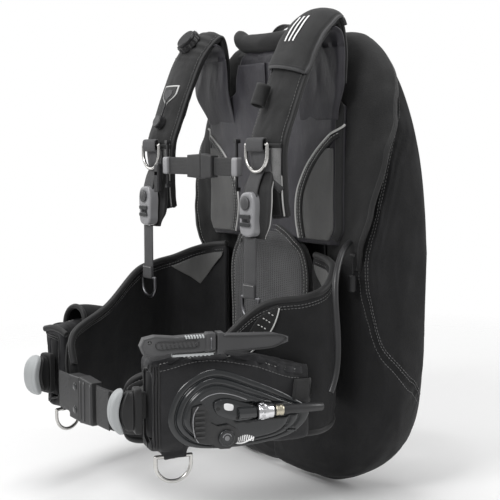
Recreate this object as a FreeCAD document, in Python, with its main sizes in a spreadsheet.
# Back-inflation buoyancy vest for scuba diving, modelled in millimetres.
# Origin: centre of the tank band.  +Z runs up the tank, -Y is the wearer's front, +X the wearer's left.
import FreeCAD
import Part
import Sketcher
import math
import os
from FreeCAD import Matrix, Placement, Rotation, Vector

doc = FreeCAD.newDocument("BuoyancyVest")
sizes = doc.addObject("Spreadsheet::Sheet", "Sizes")

SIZES = [
    ("tank_band_radius", 92.1),
    ("tank_band_width", 50),
    ("tank_band_gauge", 2.4),
    ("top_strap_width", 25),
    ("top_strap_slack", 0.4),
    ("top_strap_height", 150),
    ("cam_frame_length", 64),
    ("cam_frame_height", 58),
    ("cam_frame_gauge", 4),
    ("cam_lever_gauge", 7),
    ("cam_lever_height", 50),
    ("cam_pin_radius", 3),
    ("hinge_clearance", 0.08),
    ("wing_wall", 2.4),
    ("bladder_gap", 1.6),
    ("backplate_gauge", 10),
    ("backplate_slot_width", 56),
    ("backplate_slot_height", 9),
    ("back_pad_depth", 13),
    ("lumbar_pad_depth", 18),
    ("handle_web_width", 15),
    ("shoulder_offset", 132),
    ("shoulder_half_depth", 8),
    ("flap_gauge", 3),
    ("sleeve_outer_radius", 9.5),
    ("sleeve_inner_radius", 7.5),
    ("sleeve_length", 28),
    ("ring_wire_radius", 2.4),
    ("shoulder_ring_width", 45),
    ("end_ring_width", 35),
    ("pocket_ring_width", 43),
    ("keeper_width", 36),
    ("keeper_depth", 10),
    ("keeper_height", 18),
    ("ring_bore_radius", 2.75),
    ("rail_radius", 2),
    ("rail_length", 66),
    ("slider_bore_radius", 2.25),
    ("sternum_web_height", 24),
    ("sternum_buckle_height", 34),
    ("sternum_buckle_depth", 11),
    ("web_gauge", 2.4),
    ("waist_web_height", 50),
    ("waist_buckle_height", 60),
    ("waist_buckle_depth", 15),
    ("wrap_half_depth", 5),
    ("pocket_length", 205),
    ("pocket_height", 113),
    ("pouch_length", 104),
    ("pouch_height", 80),
    ("pouch_depth", 18),
    ("lead_length", 88),
    ("lead_height", 66),
    ("lead_depth", 11),
    ("grip_depth", 24),
    ("hub_radius", 10),
    ("hub_bore_radius", 10.08),
    ("lever_gauge", 4),
    ("coupler_outer_radius", 9),
    ("coupler_bore_radius", 6.3),
    ("coupler_length", 19),
    ("hose_radius", 5.5),
    ("knife_depth", 12),
    ("blade_gauge", 2.4),
    ("lock_gauge", 2.8),
    ("valve_radius", 19),
    ("valve_height", 12),
    ("pull_knob_radius", 9.5),
    ("pull_knob_height", 9),
    ("pull_cord_radius", 1.2),
    ("toggle_radius", 5.5),
    ("toggle_length", 22),
    ("knot_radius", 2.2),
    ("air_hose_radius", 4),
    ("whistle_length", 38),
    ("whistle_eye_radius", 2.4),
    ("web_hem_radius", 2),
    ("shoulder_buckle_depth", 14),
    ("lower_web_width", 25),
]

for row, (alias, value) in enumerate(SIZES, start=1):
    sizes.set("A%d" % row, alias.replace("_", " "))
    sizes.set("B%d" % row, str(value))
    sizes.setAlias("B%d" % row, alias)
doc.recompute()

UP = Vector(0, 0, 1)
POCKET_RUN = Vector(0.29, 0.957, 0)
POCKET_CORNER = Vector(146, -413, 0)
CONTROL_AXIS = -106
BUCKLE_ACROSS = 128


def size(alias):
    """Number held by a named cell."""
    return float(sizes.get(alias))


def frame(origin, along, upward):
    """Placement whose local X and Y follow the two given directions."""
    x_axis = Vector(along).normalize()
    z_axis = x_axis.cross(Vector(upward)).normalize()
    y_axis = z_axis.cross(x_axis)
    matrix = Matrix(
        x_axis.x, y_axis.x, z_axis.x, origin.x,
        x_axis.y, y_axis.y, z_axis.y, origin.y,
        x_axis.z, y_axis.z, z_axis.z, origin.z,
        0, 0, 0, 1,
    )
    return Placement(matrix)


def front(origin):
    """Local X to the wearer's left, Y up, Z forwards."""
    return frame(origin, Vector(1, 0, 0), UP)


def mirrored(point, side):
    """Point carried to the given side of the vest: 1 left, -1 right."""
    return Vector(point.x * side, point.y, point.z)


def new_body(label, place=None):
    body = doc.addObject("PartDesign::Body", label)
    body.Label = label
    if place:
        body.Placement = place
    return body


def sketch(body, lift=0.0, role="XY_Plane"):
    """Empty drawing on one of the body's own planes, moved along its normal."""
    plane = [part for part in body.Origin.OriginFeatures if part.Role == role][0]
    drawing = body.newObject("Sketcher::SketchObject", body.Name + "_drawing")
    drawing.AttachmentSupport = [(plane, "")]
    drawing.MapMode = "FlatFace"
    drawing.AttachmentOffset = Placement(Vector(0, 0, lift), Rotation())
    return drawing


def bind(drawing, constraint, formula):
    index = drawing.addConstraint(constraint)
    drawing.setExpression("Constraints[%d]" % index, formula)


def draw_polygon(drawing, points):
    corners = [Vector(u, v, 0) for u, v in points]
    count = len(corners)
    for index in range(count):
        drawing.addGeometry(Part.LineSegment(corners[index], corners[(index + 1) % count]))
    for index in range(count):
        drawing.addConstraint(Sketcher.Constraint("Coincident", index, 2, (index + 1) % count, 1))
    return drawing


def draw_box(drawing, wide, tall, middle=(0, 0)):
    """Rectangle about a middle point; wide and tall are sheet formulas."""
    u, v = middle
    draw_polygon(drawing, [(u - 5, v - 5), (u + 5, v - 5), (u + 5, v + 5), (u - 5, v + 5)])
    for edge in (0, 2):
        drawing.addConstraint(Sketcher.Constraint("Horizontal", edge))
    for edge in (1, 3):
        drawing.addConstraint(Sketcher.Constraint("Vertical", edge))
    bind(drawing, Sketcher.Constraint("DistanceX", 0, 1, 0, 2, 10), wide)
    bind(drawing, Sketcher.Constraint("DistanceY", 1, 1, 1, 2, 10), tall)
    bind(drawing, Sketcher.Constraint("DistanceX", -1, 1, 0, 1, u - 5), "%g - (%s) / 2" % (u, wide))
    bind(drawing, Sketcher.Constraint("DistanceY", -1, 1, 0, 1, v - 5), "%g - (%s) / 2" % (v, tall))
    return drawing


def draw_circle(drawing, radius, middle=(0, 0)):
    """Circle about a middle point; radius is a sheet formula."""
    index = drawing.addGeometry(Part.Circle(Vector(middle[0], middle[1], 0), Vector(0, 0, 1), 4))
    bind(drawing, Sketcher.Constraint("Radius", index, 4), radius)
    drawing.addConstraint(Sketcher.Constraint("DistanceX", -1, 1, index, 3, middle[0]))
    drawing.addConstraint(Sketcher.Constraint("DistanceY", -1, 1, index, 3, middle[1]))
    return drawing


def draw_curve(drawing, points):
    """Smooth closed outline through the given points."""
    curve = Part.BSplineCurve()
    curve.interpolate([Vector(u, v, 0) for u, v in points], PeriodicFlag=True)
    drawing.addGeometry(curve)
    return drawing


def pad(body, drawing, formula):
    feature = body.newObject("PartDesign::Pad", body.Name + "_pad")
    feature.Profile = drawing
    feature.setExpression("Length", formula)
    return feature


def cut(body, drawing, formula, reverse=False):
    """Pocket that runs against the drawing's normal, or along it when reversed."""
    doc.recompute()
    before = body.Shape.Volume
    feature = body.newObject("PartDesign::Pocket", body.Name + "_cut")
    feature.Profile = drawing
    feature.Reversed = reverse
    feature.setExpression("Length", formula)
    doc.recompute()
    if body.Shape.Volume > before - 1e-3:
        raise RuntimeError("cut removes nothing in " + body.Label)
    return feature


def soften(body, radius, keep):
    """Fillet on the edges of the body's tip that pass a test."""
    doc.recompute()
    tip = body.Tip
    names = ["Edge%d" % (index + 1) for index, edge in enumerate(tip.Shape.Edges) if keep(edge)]
    feature = body.newObject("PartDesign::Fillet", body.Name + "_fillet")
    feature.Base = (tip, names)
    feature.Radius = radius
    doc.recompute()
    return feature


def upright(edge):
    """True for straight edges along local Z."""
    box = edge.BoundBox
    return box.ZLength > 1e-6 and box.XLength < 1e-6 and box.YLength < 1e-6


def level_with(height):
    """Test for edges lying in the plane at a local height."""
    def test(edge):
        box = edge.BoundBox
        return box.ZLength < 1e-6 and abs(box.ZMax - height) < 1e-6
    return test


def slab(side, low, high):
    """Drawing height and sign for a layer between two distances outward from a side panel."""
    return low if side > 0 else -high


def solid(label, shape, place=None):
    item = doc.addObject("Part::Feature", label)
    item.Label = label
    item.Shape = shape
    if place:
        item.Placement = place
    return item


def oval(centre, across, through, half_across, half_through, power=2.6, count=20):
    """Closed rounded section built on two directions."""
    points = []
    for step in range(count):
        angle = 2 * math.pi * step / count
        u = math.copysign(abs(math.cos(angle)) ** (2 / power), math.cos(angle)) * half_across
        v = math.copysign(abs(math.sin(angle)) ** (2 / power), math.sin(angle)) * half_through
        points.append(centre + across * u + through * v)
    curve = Part.BSplineCurve()
    curve.interpolate(points, PeriodicFlag=True)
    return Part.Wire([curve.toShape()])


def smooth_path(points):
    curve = Part.BSplineCurve()
    curve.interpolate(points)
    return curve


def hose(points, radius):
    """Round tube swept along a smooth path."""
    path = smooth_path(points).toShape()
    circle = Part.Circle(points[0], path.tangentAt(path.FirstParameter), radius).toShape()
    return Part.Wire([path]).makePipeShell([Part.Wire([circle])], True, True)


# ---------------------------------------------------------------- wing, plate and pads

WING_STATIONS = [
    (Vector(0, -106, 296), Vector(0, 0, 1), 28, 9),
    (Vector(55, -101, 304), Vector(0.1, 0, 1), 34, 13),
    (Vector(113, -87, 300), Vector(0.5, 0, 0.86), 52, 27),
    (Vector(148, -80, 226), Vector(0.92, 0, 0.39), 60, 40),
    (Vector(161, -76, 120), Vector(1, 0, 0.08), 64, 46),
    (Vector(163, -75, 0), Vector(1, 0, 0), 66, 48),
    (Vector(161, -75, -100), Vector(1, 0, -0.12), 66, 47),
    (Vector(146, -79, -164), Vector(0.83, 0, -0.56), 58, 42),
    (Vector(104, -94, -202), Vector(0.4, 0, -0.92), 45, 28),
    (Vector(50, -107, -211), Vector(0.12, 0, -1), 37, 17),
    (Vector(0, -111, -210), Vector(0, 0, -1), 35, 13),
]


def wing_volume(inset):
    """Horseshoe of lofted sections, thinned evenly by an inset, both halves joined."""
    wires = []
    for centre, across, half_across, half_through in WING_STATIONS:
        rim = oval(centre, Vector(across).normalize(), Vector(0, 1, 0),
                   half_across - inset, half_through - inset)
        wires.append(rim)
    half = Part.makeLoft(wires, True, False)
    return half.fuse(half.mirror(Vector(0, 0, 0), Vector(1, 0, 0))).removeSplitter()


def build_wing():
    wall = size("wing_wall")
    solid("wing_shell", wing_volume(0).cut(wing_volume(wall)))
    solid("air_bladder", wing_volume(wall + size("bladder_gap")))


def build_backplate():
    body = new_body("backplate", front(Vector(0, -97.5, 0)))
    outline = [(-70, -130), (70, -130), (96, -95), (96, 40), (84, 150), (66, 262),
               (-66, 262), (-84, 150), (-96, 40), (-96, -95)]
    pad(body, draw_polygon(sketch(body), outline), "Sizes.backplate_gauge")
    soften(body, 14, upright)
    for height in (-60, 60, 185):
        slot = draw_box(sketch(body, 20), "Sizes.backplate_slot_width",
                        "Sizes.backplate_slot_height", (0, height))
        cut(body, slot, "30")
    for across in (-52, 52):
        for height in (-88, 0, 105):
            cut(body, draw_circle(sketch(body, 20), "Sizes.backplate_slot_width * 0.25",
                                  (across, height)), "30")
    soften(body, 2, level_with(size("backplate_gauge")))


def build_pads():
    body = new_body("back_pad", front(Vector(0, -124.5, 0)))
    outline = [(-140, 78), (140, 78), (158, 120), (158, 240), (145, 281), (88, 281), (78, 330), (40, 345),
               (-40, 345), (-78, 330), (-88, 281), (-145, 281), (-158, 240), (-158, 120)]
    pad(body, draw_polygon(sketch(body), outline), "Sizes.back_pad_depth")
    soften(body, 12, upright)
    soften(body, 6, level_with(size("back_pad_depth")))
    body = new_body("lumbar_pad", front(Vector(0, -119.5, 0)))
    outline = [(-96, 70), (96, 70), (96, -100), (62, -150), (-62, -150), (-96, -100)]
    pad(body, draw_polygon(sketch(body), outline), "Sizes.lumbar_pad_depth")
    soften(body, 14, upright)
    soften(body, 8, level_with(size("lumbar_pad_depth")))


def build_carry_handle():
    body = new_body("carry_handle", front(Vector(0, -96.5, 0)))
    outer = [(-38, 336), (-36, 356), (-20, 374), (0, 378), (20, 374), (36, 356), (38, 336)]
    inner = [(30, 336), (28, 354), (15, 366), (0, 369), (-15, 366), (-28, 354), (-30, 336)]
    pad(body, draw_polygon(sketch(body), outer + inner), "Sizes.handle_web_width")
    soften(body, 2, level_with(size("handle_web_width")))


# ---------------------------------------------------------------- tank band and cam buckle

def build_bands():
    body = new_body("tank_band")
    half = size("tank_band_width") / 2
    drawing = sketch(body, -half)
    draw_circle(drawing, "Sizes.tank_band_radius + Sizes.tank_band_gauge")
    draw_circle(drawing, "Sizes.tank_band_radius")
    pad(body, drawing, "Sizes.tank_band_width")
    body = new_body("tank_top_strap")
    drawing = sketch(body, size("top_strap_height"))
    inside = "Sizes.tank_band_radius + Sizes.top_strap_slack"
    draw_circle(drawing, inside + " + Sizes.tank_band_gauge")
    draw_circle(drawing, inside)
    pad(body, drawing, "Sizes.top_strap_width")


def build_cam_buckle():
    rear = frame(Vector(0, 95.2, 0), Vector(1, 0, 0), Vector(0, 1, 0))
    half = size("cam_frame_height") / 2
    body = new_body("cam_frame", rear)
    base = draw_box(sketch(body, -half), "Sizes.cam_frame_length", "Sizes.cam_frame_gauge", (0, 2))
    pad(body, base, "Sizes.cam_frame_height")
    for lift in (-half, half - 3):
        ear = draw_polygon(sketch(body, lift), [(-32, 3), (-16, 3), (-22, 18), (-32, 18)])
        pad(body, ear, "3")
    pin = draw_circle(sketch(body, -half), "Sizes.cam_pin_radius", (-27, 11.8))
    pad(body, pin, "Sizes.cam_frame_height")
    body = new_body("cam_lever", rear)
    blade = sketch(body, -size("cam_lever_height") / 2)
    draw_polygon(blade, [(-33, 9), (-30, 6.5), (-22, 6.5), (-16, 8.5), (26, 8.5), (36, 14),
                         (34, 16), (25, 13), (-18, 14), (-22, 17), (-30, 17), (-33, 14.5)])
    pad(body, blade, "Sizes.cam_lever_height")
    bore = draw_circle(sketch(body, 60), "Sizes.cam_pin_radius + Sizes.hinge_clearance", (-27, 11.8))
    cut(body, bore, "120")


# ---------------------------------------------------------------- shoulder straps

STRAP_LINE = [(-136, 285), (-137, 330), (-150, 366), (-181, 338), (-203, 292),
              (-220, 248), (-233, 208), (-228, 160), (-217, 118)]
STRAP_HALF_WIDTHS = [36, 38, 39, 38, 37, 36, 35, 26, 14]


def strap_stations(side, first, last, rise, half_depth, trim, count=12):
    """Sections along a shoulder strap, lifted outward by a rise."""
    line = smooth_path([Vector(0, y, z) for y, z in STRAP_LINE])
    low = line.FirstParameter
    span = line.LastParameter - low
    steps = len(STRAP_HALF_WIDTHS) - 1
    across = Vector(1, 0, 0)
    wires = []
    for index in range(count):
        place = first + (last - first) * index / (count - 1)
        spot = low + span * place
        tangent = line.tangent(spot)[0]
        outward = tangent.cross(across).normalize()
        left = min(int(place * steps), steps - 1)
        part = place * steps - left
        half = STRAP_HALF_WIDTHS[left] * (1 - part) + STRAP_HALF_WIDTHS[left + 1] * part
        offset = size("shoulder_offset") + 5 * max(0, place - 0.75) * 4
        middle = line.value(spot) + across * offset * side + outward * rise
        wires.append(oval(middle, across, outward, half - trim, half_depth, 3.2))
    return wires


def build_shoulders():
    depth = size("shoulder_half_depth")
    for side, name in ((1, "left"), (-1, "right")):
        strap = Part.makeLoft(strap_stations(side, 0, 1, 0, depth, 0, 14), True, False)
        solid("shoulder_strap_" + name, strap)


def strap_point(place, rise):
    """Point and tangent on the strap's centre line, lifted outward."""
    line = smooth_path([Vector(0, y, z) for y, z in STRAP_LINE])
    spot = line.FirstParameter + (line.LastParameter - line.FirstParameter) * place
    tangent = line.tangent(spot)[0]
    outward = tangent.cross(Vector(1, 0, 0)).normalize()
    return line.value(spot) + outward * rise, tangent, outward


def build_shoulder_flap():
    gauge = size("flap_gauge")
    rise = size("shoulder_half_depth") + 1 + gauge
    wires = strap_stations(1, 0.2, 0.47, rise, gauge / 2, 1, 9)
    solid("shoulder_flap", Part.makeLoft(wires, True, False))


def build_hose_sleeve():
    point, tangent, outward = strap_point(0.585, size("shoulder_half_depth") + 10.8)
    point.x = 118
    body = new_body("hose_sleeve", frame(point, Vector(1, 0, 0), outward))
    drawing = sketch(body)
    draw_circle(drawing, "Sizes.sleeve_outer_radius")
    draw_circle(drawing, "Sizes.sleeve_inner_radius")
    pad(body, drawing, "Sizes.sleeve_length")


def wire_ring(label, width, straight, place):
    """D-shaped wire loop: a bar along local X and a bow hanging below it."""
    body = new_body(label, place)
    half = size(width) / 2
    path = sketch(body)
    path.addGeometry(Part.LineSegment(Vector(-half, 0, 0), Vector(half, 0, 0)))
    path.addGeometry(Part.LineSegment(Vector(half, 0, 0), Vector(half, -straight, 0)))
    bow = Part.Circle(Vector(0, -straight, 0), Vector(0, 0, 1), half)
    path.addGeometry(Part.ArcOfCircle(bow, math.pi, 2 * math.pi))
    path.addGeometry(Part.LineSegment(Vector(-half, -straight, 0), Vector(-half, 0, 0)))
    for near, near_end, far, far_end in ((0, 2, 1, 1), (1, 2, 2, 2), (2, 1, 3, 1), (3, 2, 0, 1)):
        path.addConstraint(Sketcher.Constraint("Coincident", near, near_end, far, far_end))
    bind(path, Sketcher.Constraint("DistanceX", 0, 1, 0, 2, 2 * half), "Sizes." + width)
    profile = draw_circle(sketch(body, 0, "YZ_Plane"), "Sizes.ring_wire_radius")
    pipe = body.newObject("PartDesign::AdditivePipe", body.Name + "_pipe")
    pipe.Profile = profile
    pipe.Spine = (path, ["Edge1", "Edge2", "Edge3", "Edge4"])
    pipe.Transition = "Round corner"
    doc.recompute()


def build_ring_keeper(label, place):
    """Webbing loop around a ring's bar: a block with a bore along local X."""
    body = new_body(label, place)
    drawing = sketch(body, -size("keeper_width") / 2, "YZ_Plane")
    draw_box(drawing, "Sizes.keeper_height", "Sizes.keeper_depth")
    pad(body, drawing, "Sizes.keeper_width")
    bore = draw_circle(sketch(body, 40, "YZ_Plane"), "Sizes.ring_bore_radius")
    cut(body, bore, "80")
    soften(body, 2, lambda edge: edge.BoundBox.XLength > 30 and edge.BoundBox.YLength < 1e-6)


def build_shoulder_rings():
    for side, name in ((1, "left"), (-1, "right")):
        place = front(Vector(131 * side, -248, 208))
        build_ring_keeper("ring_keeper_" + name, place)
        wire_ring("shoulder_ring_" + name, "shoulder_ring_width", 11, place)


def build_shoulder_buckles():
    for side, name in ((1, "left"), (-1, "right")):
        body = new_body("shoulder_buckle_" + name, front(Vector(BUCKLE_ACROSS * side, -248, 0)))
        outline = [(0, 150), (12, 146), (16, 134), (15, 112), (13, 99), (0, 94),
                   (-13, 99), (-15, 112), (-16, 134), (-12, 146)]
        pad(body, draw_curve(sketch(body), outline), "Sizes.shoulder_buckle_depth")
        soften(body, 3, level_with(size("shoulder_buckle_depth")))
        window = draw_polygon(sketch(body, 30), [(-9, 108), (9, 108), (9, 122), (-9, 122)])
        cut(body, window, "24")
        dish = draw_circle(sketch(body, 30), "Sizes.shoulder_buckle_depth * 0.55", (0, 136))
        cut(body, dish, "18")
        knob = draw_circle(sketch(body, 10), "Sizes.shoulder_buckle_depth * 0.42", (0, 136))
        pad(body, knob, "6")


def build_lower_straps():
    for side, name in ((1, "left"), (-1, "right")):
        place = frame(Vector(BUCKLE_ACROSS * side, -255, 18), Vector(1, 0, 0), UP)
        body = new_body("lower_strap_" + name, place)
        half = size("lower_web_width") / 2
        drawing = sketch(body, -half, "YZ_Plane")
        draw_polygon(drawing, [(2, -1.2), (72, -1.2), (72, 1.2), (2, 1.2)])
        pad(body, drawing, "Sizes.lower_web_width")
        loop = draw_circle(sketch(body, -half, "YZ_Plane"), "Sizes.ring_bore_radius + 2")
        pad(body, loop, "Sizes.lower_web_width")
        hem = draw_circle(sketch(body, -half, "YZ_Plane"), "Sizes.web_hem_radius", (73.5, 0))
        pad(body, hem, "Sizes.lower_web_width")
        bore = draw_circle(sketch(body, 40, "YZ_Plane"), "Sizes.ring_bore_radius")
        cut(body, bore, "80")
        wire_ring("strap_end_ring_" + name, "end_ring_width", 10, place)


# ---------------------------------------------------------------- sternum strap

def build_sternum():
    for side, name in ((1, "left"), (-1, "right")):
        body = new_body("sternum_rail_" + name, Placement(Vector(86 * side, -247, 149), Rotation()))
        pad(body, draw_circle(sketch(body), "Sizes.rail_radius"), "Sizes.rail_length")
        for lift in (0, size("rail_length") - 5):
            outline = [(-3, -3), (3, -3), (3, 4), (-3, 4)]
            pad(body, draw_polygon(sketch(body, lift), outline), "5")
        build_sternum_web("sternum_web_" + name, side)
    build_sternum_buckle()


def build_sternum_web(label, side):
    """Flat webbing from the rail slider to the buckle."""
    body = new_body(label, Placement(Vector(0, -247, 168), Rotation()))
    inner = 34.3 if side > 0 else 24
    half = size("web_gauge") / 2
    outline = [(inner * side, -half), (82 * side, -half), (82 * side, half), (inner * side, half)]
    pad(body, draw_polygon(sketch(body), outline), "Sizes.sternum_web_height")
    block = [(80 * side, -5), (92 * side, -5), (92 * side, 5), (80 * side, 5)]
    pad(body, draw_polygon(sketch(body), block), "Sizes.sternum_web_height")
    bore = draw_circle(sketch(body, 60), "Sizes.slider_bore_radius", (86 * side, 0))
    cut(body, bore, "120")
    return body


def build_sternum_buckle():
    place = front(Vector(0, -247 + 5.5, 180))
    body = new_body("sternum_buckle_female", place)
    shell = draw_polygon(sketch(body), [(8, -17), (34, -14), (34, 14), (8, 17)])
    pad(body, shell, "Sizes.sternum_buckle_depth")
    hollow = draw_polygon(sketch(body, 7, "YZ_Plane"), [(-14, 2.2), (14, 2.2), (14, 8.8), (-14, 8.8)])
    cut(body, hollow, "21", True)
    soften(body, 1.5, level_with(size("sternum_buckle_depth")))
    body = new_body("sternum_buckle_male", place)
    base = draw_polygon(sketch(body), [(-26, -15), (7.5, -16.5), (7.5, 16.5), (-26, 15)])
    pad(body, base, "Sizes.sternum_buckle_depth")
    for low, high in ((-12.5, -8), (-2.5, 2.5), (8, 12.5)):
        tongue = draw_polygon(sketch(body, 3.2), [(7, low), (24, low), (24, high), (7, high)])
        pad(body, tongue, "4.6")
    slot = draw_polygon(sketch(body, -27, "YZ_Plane"), [(-12.6, 3.8), (12.6, 3.8), (12.6, 7.2), (-12.6, 7.2)])
    cut(body, slot, "20", True)
    soften(body, 1.5, level_with(size("sternum_buckle_depth")))


# ---------------------------------------------------------------- waist wraps and belt

WRAP_STATIONS = [
    (Vector(72, -402, -112), 30),
    (Vector(89, -393.5, -97), 53),
    (Vector(121, -326, -84.5), 64.5),
    (Vector(154, -261, -68), 82),
    (Vector(182, -212, -64), 86),
    (Vector(183, -180, -58.5), 90.5),
    (Vector(166, -154, -46), 98),
    (Vector(138, -139, -38), 98),
    (Vector(106, -134, -32), 96),
]


def build_wraps():
    depth = size("wrap_half_depth")
    points = [centre for centre, half in WRAP_STATIONS]
    wires = []
    for index, (centre, half) in enumerate(WRAP_STATIONS):
        ahead = points[min(index + 1, len(points) - 1)]
        behind = points[max(index - 1, 0)]
        run = Vector(ahead.x - behind.x, ahead.y - behind.y, 0).normalize()
        wires.append(oval(centre, UP, run.cross(UP), half, depth, 4))
    left = Part.makeLoft(wires, True, False)
    solid("waist_wrap_left", left)
    solid("waist_wrap_right", left.mirror(Vector(0, 0, 0), Vector(1, 0, 0)))


def build_belt():
    half = size("web_gauge") / 2
    body = new_body("belt_web_right", Placement(Vector(0, -420.2, -139), Rotation()))
    outline = [(-78, -half), (-32, -half), (-32, half), (-78, half)]
    pad(body, draw_polygon(sketch(body), outline), "Sizes.waist_web_height")
    path = [Vector(30.4, -420.2, -114), Vector(60, -420, -114), Vector(84, -415.5, -114), Vector(101, -405.5, -114)]
    wires = []
    for index, point in enumerate(path):
        ahead = path[min(index + 1, 3)]
        behind = path[max(index - 1, 0)]
        run = (ahead - behind).normalize()
        across = run.cross(UP)
        tall = UP * (size("waist_web_height") / 2)
        corners = [point + across * half + tall, point - across * half + tall,
                   point - across * half - tall, point + across * half - tall]
        wires.append(Part.makePolygon(corners + corners[:1]))
    solid("belt_web_left", Part.makeLoft(wires, True, False))


def build_waist_buckle():
    place = front(Vector(0, -412.7, -114))
    body = new_body("waist_buckle_female", place)
    shell = draw_polygon(sketch(body), [(-4, -30), (30, -27), (30, 27), (-4, 30)])
    pad(body, shell, "Sizes.waist_buckle_depth")
    hollow = draw_polygon(sketch(body, -5, "YZ_Plane"), [(-26, 2.5), (26, 2.5), (26, 12.5), (-26, 12.5)])
    cut(body, hollow, "28", True)
    soften(body, 2, level_with(size("waist_buckle_depth")))
    body = new_body("waist_buckle_male", place)
    base = draw_polygon(sketch(body), [(-34, -28), (-4.5, -29), (-4.5, 29), (-34, 28)])
    pad(body, base, "Sizes.waist_buckle_depth")
    for low, high in ((-24, -15), (-5, 5), (15, 24)):
        tongue = draw_polygon(sketch(body, 4), [(-5, low), (19, low), (19, high), (-5, high)])
        pad(body, tongue, "7")
    slot = draw_polygon(sketch(body, -35, "YZ_Plane"), [(-25.8, 5.4), (25.8, 5.4), (25.8, 9.6), (-25.8, 9.6)])
    cut(body, slot, "26", True)
    soften(body, 2, level_with(size("waist_buckle_depth")))


# ---------------------------------------------------------------- pockets and weights

def pocket_side(side):
    """Side-on frame of a pocket: X back along it, Y up, Z across it."""
    run = Vector(POCKET_RUN.x * side, POCKET_RUN.y, 0)
    return frame(mirrored(POCKET_CORNER, side), run, UP)


def pocket_plan(side):
    """Plan frame of a pocket: X back along it, Y inward on the left, outward on the right, Z up."""
    run = Vector(POCKET_RUN.x * side, POCKET_RUN.y, 0)
    return frame(mirrored(POCKET_CORNER, side), run, UP.cross(run))


def build_pocket(side, name):
    body = new_body("pocket_" + name, pocket_plan(side))
    outline = [(0, 4), (10, 0), (180, 0), (205, 6), (205, 14), (150, 22), (0, 40)]
    drawing = sketch(body, -151)
    draw_polygon(drawing, [(s, w * side) for s, w in outline])
    pad(body, drawing, "Sizes.pocket_height")
    wedge = draw_polygon(sketch(body, 60, "XZ_Plane"),
                         [(120, -37), (210, -60), (210, -30), (120, -30)])
    cut(body, wedge, "120")
    soften(body, 3, lambda edge: edge.BoundBox.ZLength > 60)
    soften(body, 3, lambda edge: edge.BoundBox.ZLength < 1e-6 and edge.BoundBox.ZMax < -150)
    room = draw_box(sketch(body, -1, "YZ_Plane"), "Sizes.pouch_depth + 2", "Sizes.pouch_height + 6",
                    (17 * side, -96))
    cut(body, room, "Sizes.pouch_length + 8", True)
    loop = draw_polygon(sketch(body, 18, "YZ_Plane"), [(7 * side, -164), (17 * side, -164),
                                                       (17 * side, -150), (7 * side, -150)])
    pad(body, loop, "30")
    bore = draw_circle(sketch(body, 60, "YZ_Plane"), "Sizes.ring_bore_radius", (12 * side, -159))
    cut(body, bore, "50")


def build_pocket_ring(side, name):
    """Wire ring hanging from the loop under the pocket."""
    outward = Vector(POCKET_RUN.y * side, -POCKET_RUN.x, 0)
    run = Vector(POCKET_RUN.x * side, POCKET_RUN.y, 0)
    corner = mirrored(POCKET_CORNER, side)
    middle = corner + run * 33 - outward * 12 + UP * -159
    wire_ring("pocket_ring_" + name, "pocket_ring_width", 9, frame(middle, run, UP))


def build_weights(side, name):
    place = pocket_side(side)
    low = slab(side, -26, -8)
    body = new_body("weight_pouch_" + name, place)
    drawing = draw_box(sketch(body, low), "Sizes.pouch_length", "Sizes.pouch_height", (54, -96))
    pad(body, drawing, "Sizes.pouch_depth")
    hollow = draw_box(sketch(body, slab(side, -23, -11)), "Sizes.lead_length + 2",
                      "Sizes.lead_height + 2", (54, -96))
    cut(body, hollow, "Sizes.lead_depth + 1", True)
    body = new_body("lead_weight_" + name, place)
    drawing = draw_box(sketch(body, slab(side, -22.5, -11.5)), "Sizes.lead_length",
                       "Sizes.lead_height", (54, -96))
    pad(body, drawing, "Sizes.lead_depth")
    body = new_body("weight_grip_" + name, place)
    low = slab(side, -30, -6)
    outer = [(-12, -74), (-26, -76), (-38, -85), (-43, -102), (-38, -119), (-26, -128), (-12, -130)]
    inner = [(-12, -120), (-24, -118), (-29, -110), (-31, -102), (-29, -94), (-24, -86), (-12, -84)]
    pad(body, draw_polygon(sketch(body, low), outer + inner), "Sizes.grip_depth")
    web = [(-13, -74), (-4, -74), (-4, -130), (-13, -130)]
    pad(body, draw_polygon(sketch(body, low), web), "Sizes.grip_depth")
    link = draw_polygon(sketch(body, slab(side, -22, -12)), [(-5, -112), (1.7, -112), (1.7, -80), (-5, -80)])
    pad(body, link, "10")
    soften(body, 3, lambda edge: upright(edge) and edge.BoundBox.XMax < -20)


# ---------------------------------------------------------------- inflation control

def teardrop(inset):
    """Outline of the control housing, drawn in by an inset."""
    k = inset
    return [(22 + k, -112), (38 + 0.7 * k, -73 - 0.7 * k), (79, -54 - k), (130 - 0.3 * k, -71 - 0.9 * k),
            (175 - 0.7 * k, -93 - 0.6 * k), (200 - 1.6 * k, -113), (182 - k, -137 + 0.5 * k),
            (140, -148 + 0.6 * k), (80, -150 + 0.5 * k), (40 + 0.7 * k, -141 + 0.6 * k)]


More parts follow.
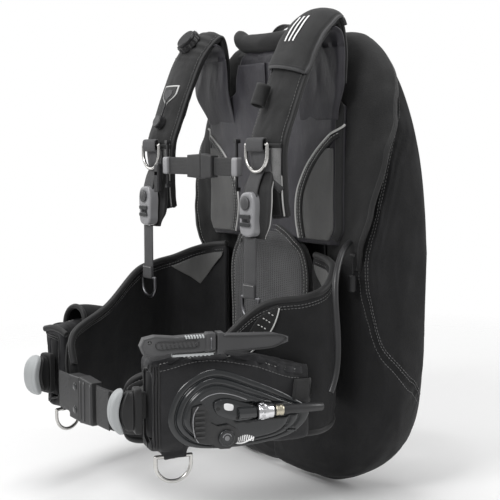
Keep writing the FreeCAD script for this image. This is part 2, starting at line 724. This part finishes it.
def build_control():
    place = pocket_side(1)
    body = new_body("control_housing", place)
    for inset, low, high in ((0, 0.6, 6), (9, 5, 10), (17, 9, 13)):
        pad(body, draw_curve(sketch(body, low), teardrop(inset)), "%g" % (high - low))
        soften(body, 1.5, level_with(high))
    plate = [(76, -92), (90, -88), (110, -94), (124, -98), (124, -114), (108, -115), (94, -111), (80, -105)]
    pad(body, draw_polygon(sketch(body, 12), plate), "5")
    channel = draw_polygon(sketch(body, 40), [(104, -118), (210, -118), (210, -94), (104, -94)])
    cut(body, channel, "33")
    body = new_body("hose_stub", place)
    stub = draw_circle(sketch(body, 104.5, "YZ_Plane"), "Sizes.coupler_outer_radius - 2", (CONTROL_AXIS, 17))
    pad(body, stub, "21")
    body = new_body("control_hub", place)
    pad(body, draw_circle(sketch(body, 13), "Sizes.hub_radius", (90, -134)), "8")
    soften(body, 1.5, level_with(21))
    body = new_body("control_lever", place)
    arm = [(50, -96), (62, -93), (68, -100), (71, -115), (80, -120), (93, -119), (104, -126), (104, -140),
           (94, -147.5), (82, -147), (73, -141), (62, -139), (53, -136), (48, -115)]
    pad(body, draw_polygon(sketch(body, 13.6), arm), "Sizes.lever_gauge")
    soften(body, 1.5, upright)
    bore = draw_circle(sketch(body, 40), "Sizes.hub_bore_radius", (90, -134))
    cut(body, bore, "40")
    for index in range(6):
        rib = draw_polygon(sketch(body, 13.6), [(52, -100 - 6 * index), (64, -100 - 6 * index),
                                                (64, -102.4 - 6 * index), (52, -102.4 - 6 * index)])
        pad(body, rib, "Sizes.lever_gauge + 1.4")


def build_supply_hose():
    place = pocket_side(1)
    path = [Vector(127, CONTROL_AXIS, 17), Vector(146, CONTROL_AXIS, 17), Vector(168, CONTROL_AXIS, 17),
            Vector(190, CONTROL_AXIS, 16), Vector(212, CONTROL_AXIS - 2, 9)]
    solid("supply_hose", hose(path, size("hose_radius")), place)
    body = new_body("coupler_sleeve", place)
    drawing = sketch(body, 128, "YZ_Plane")
    draw_circle(drawing, "Sizes.coupler_outer_radius", (CONTROL_AXIS, 17))
    draw_circle(drawing, "Sizes.coupler_bore_radius", (CONTROL_AXIS, 17))
    pad(body, drawing, "Sizes.coupler_length")
    soften(body, 1, lambda edge: edge.BoundBox.YLength > 17)


# ---------------------------------------------------------------- knife and sheath

def build_knife():
    place = pocket_side(1)
    body = new_body("knife_sheath", place)
    outline = [(80, -35), (80, -9), (87, -9), (90, -12), (150, -14), (168, -19), (168, -25),
               (150, -31), (90, -34), (87, -35)]
    pad(body, draw_polygon(sketch(body, 3), outline), "Sizes.knife_depth")
    room = draw_polygon(sketch(body, 79, "YZ_Plane"), [(-29, 7), (-16, 7), (-16, 11), (-29, 11)])
    cut(body, room, "80", True)
    soften(body, 2, level_with(15))
    body = new_body("knife", place)
    outline = [(-11, -21), (-7, -12), (6, -9.5), (30, -12), (60, -11), (78.5, -10.5), (78.5, -30.5),
               (60, -31), (26, -31), (16, -33), (4, -34), (-7, -31)]
    pad(body, draw_polygon(sketch(body, 3), outline), "Sizes.knife_depth")
    soften(body, 2.5, level_with(15))
    cut(body, draw_circle(sketch(body, 40), "Sizes.blade_gauge", (0, -17)), "60")
    blade = [(78, -28), (150, -28), (157, -22.5), (150, -17), (78, -17)]
    pad(body, draw_polygon(sketch(body, 7.8), blade), "Sizes.blade_gauge")
    body = new_body("knife_lock", place)
    strip = [(27, -35.4), (76, -35.4), (76, -32.8), (27, -32.8)]
    pad(body, draw_polygon(sketch(body, 5), strip), "8")
    for index in range(7):
        start = 40 + 5 * index
        rib = [(start, -36.2), (start + 2, -36.2), (start + 2, -35), (start, -35)]
        pad(body, draw_polygon(sketch(body, 5), rib), "8")


# ---------------------------------------------------------------- valves, pulls and hoses

def build_dump_valve():
    point, tangent, outward = strap_point(0.315, size("shoulder_half_depth") + 1)
    point.x = -135
    body = new_body("dump_valve", frame(point, Vector(1, 0, 0), tangent * -1))
    rim = []
    for index in range(72):
        angle = 2 * math.pi * index / 72
        radius = size("valve_radius") - (0, 0, 1.4, 1.4)[index % 4]
        rim.append((radius * math.cos(angle), radius * math.sin(angle)))
    pad(body, draw_polygon(sketch(body), rim), "Sizes.valve_height * 0.6")
    cap = draw_circle(sketch(body), "Sizes.valve_radius - 4")
    pad(body, cap, "Sizes.valve_height")
    soften(body, 1.5, level_with(size("valve_height")))
    point, tangent, outward = strap_point(0.66, size("shoulder_half_depth") + 2)
    point.x = -126
    body = new_body("dump_pull", frame(point, Vector(1, 0, 0), tangent * -1))
    pad(body, draw_circle(sketch(body), "Sizes.pull_knob_radius"), "Sizes.pull_knob_height")
    soften(body, 2, level_with(size("pull_knob_height")))
    cord = draw_circle(sketch(body, 0, "XZ_Plane"), "Sizes.pull_cord_radius", (0, 3))
    feature = pad(body, cord, "34")
    feature.Reversed = True
    doc.recompute()


def build_toggle():
    body = new_body("wing_toggle", Placement(Vector(182, -135, 22), Rotation()))
    pad(body, draw_circle(sketch(body), "Sizes.toggle_radius"), "Sizes.toggle_length")
    soften(body, 2.5, level_with(0))
    soften(body, 2.5, level_with(size("toggle_length")))
    pad(body, draw_circle(sketch(body, 1), "Sizes.pull_cord_radius"), "Sizes.toggle_length + 24")
    knot = draw_circle(sketch(body, -2.5, "YZ_Plane"), "Sizes.knot_radius", (0, 47))
    pad(body, knot, "5")


def build_air_hose():
    path = [Vector(174, -133, 84), Vector(188, -158, 72), Vector(203, -180, 40), Vector(214, -186, -15),
            Vector(219, -200, -92)]
    solid("air_hose", hose(path, size("air_hose_radius")))


def build_whistle():
    body = new_body("whistle", Placement(Vector(-103, -253, 142), Rotation()))
    drawing = draw_polygon(sketch(body), [(-6, -4), (6, -4), (6, 4), (-6, 4)])
    pad(body, drawing, "Sizes.whistle_length")
    soften(body, 2.5, upright)
    soften(body, 1.5, level_with(0))
    slot = draw_polygon(sketch(body, 20, "XZ_Plane"), [(-4, 24), (4, 24), (4, 29), (-4, 29)])
    cut(body, slot, "21", False)
    eye = draw_circle(sketch(body, -4, "YZ_Plane"), "Sizes.whistle_eye_radius", (0, 38))
    pad(body, eye, "8")


def build_all():
    build_wing()
    build_backplate()
    build_pads()
    build_carry_handle()
    build_bands()
    build_cam_buckle()
    build_shoulders()
    build_shoulder_flap()
    build_hose_sleeve()
    build_shoulder_rings()
    build_shoulder_buckles()
    build_lower_straps()
    build_sternum()
    build_wraps()
    build_belt()
    build_waist_buckle()
    for side, name in ((1, "left"), (-1, "right")):
        build_pocket(side, name)
        build_pocket_ring(side, name)
        build_weights(side, name)
    build_control()
    build_supply_hose()
    build_knife()
    build_dump_valve()
    build_toggle()
    build_air_hose()
    build_whistle()


def write_parts():
    doc.recompute()
    faults = [item.Label for item in doc.Objects if "Invalid" in item.State or "Error" in item.State]
    parts = [item for item in doc.Objects
             if item.TypeId in ("PartDesign::Body", "Part::Feature")]
    for item in parts:
        if item.Shape.isNull() or not item.Shape.isValid():
            faults.append(item.Label)
    if faults:
        raise RuntimeError("faulty parts: " + ", ".join(faults))
    os.makedirs("parts", exist_ok=True)
    for item in parts:
        item.Shape.exportStep("parts/%s.step" % item.Label)
    print("wrote %d parts" % len(parts))


build_all()
write_parts()
